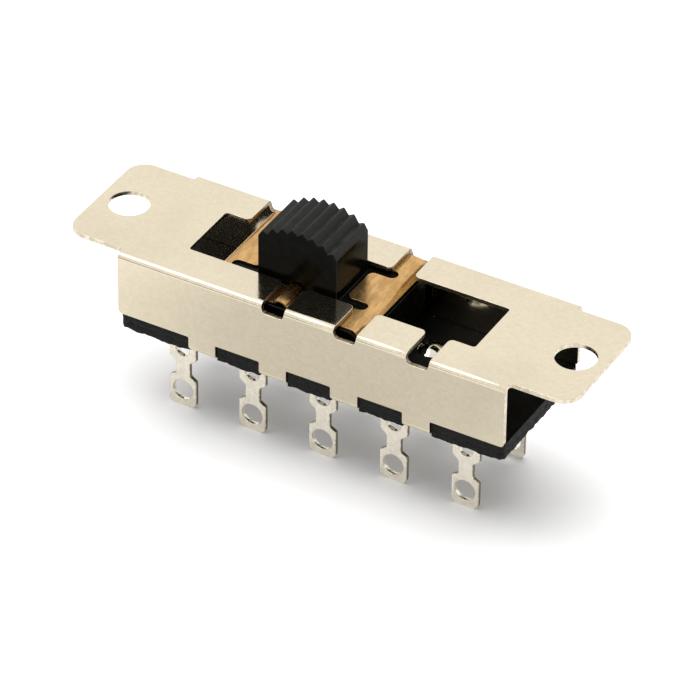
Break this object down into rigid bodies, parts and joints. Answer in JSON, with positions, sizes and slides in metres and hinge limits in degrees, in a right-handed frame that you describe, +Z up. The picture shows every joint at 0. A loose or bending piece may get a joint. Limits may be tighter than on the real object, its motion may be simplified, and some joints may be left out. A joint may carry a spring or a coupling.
{
  "type": "slide switch",
  "caption": "Open-frame voltage selector slide switch with a ribbed knob, mounting ears and two rows of solder lugs under a laminate base.",
  "frame": {"origin": "middle of the frame in plan, at the level of the terminals' ends", "axes": "+X along the slider's travel, towards the picture's right; -Y is the front row; +Z up through the knob"},
  "size_m": [0.0448, 0.0126, 0.0193],
  "materials": {
    "nickel_plate": "satin nickel plate",
    "black_laminate": "dull phenolic paper laminate",
    "black_nylon": "satin moulded plastic",
    "phosphor_bronze": "cold-rolled spring bronze",
    "silver_plate": "silver-plated brass",
    "spring_wire": "drawn steel wire"
  },
  "bodies": {
    "base": {"mounting_frame": "nickel_plate", "base_board": "black_laminate", "terminal_front_1": "silver_plate", "terminal_front_2": "silver_plate", "terminal_front_3": "silver_plate", "terminal_front_4": "silver_plate", "terminal_front_5": "silver_plate", "terminal_back_1": "silver_plate", "terminal_back_2": "silver_plate", "terminal_back_3": "silver_plate", "terminal_back_4": "silver_plate", "terminal_back_5": "silver_plate", "contact_rivet_front_1": "silver_plate", "contact_rivet_front_2": "silver_plate", "contact_rivet_front_3": "silver_plate", "contact_rivet_front_4": "silver_plate", "contact_rivet_front_5": "silver_plate", "contact_rivet_back_1": "silver_plate", "contact_rivet_back_2": "silver_plate", "contact_rivet_back_3": "silver_plate", "contact_rivet_back_4": "silver_plate", "contact_rivet_back_5": "silver_plate"},
    "carriage": {"slider": "black_nylon", "detent_spring": "phosphor_bronze", "contact_bridge_front": "silver_plate", "contact_bridge_back": "silver_plate", "contact_spring_front": "spring_wire", "contact_spring_back": "spring_wire"}
  },
  "joints": [
    {"name": "slider_travel", "type": "slide", "parent": "base", "child": "carriage", "axis": [1, 0, 0], "range_m": [-0.00596, 0.0123], "deforming": ["detent_spring"]}
  ]
}
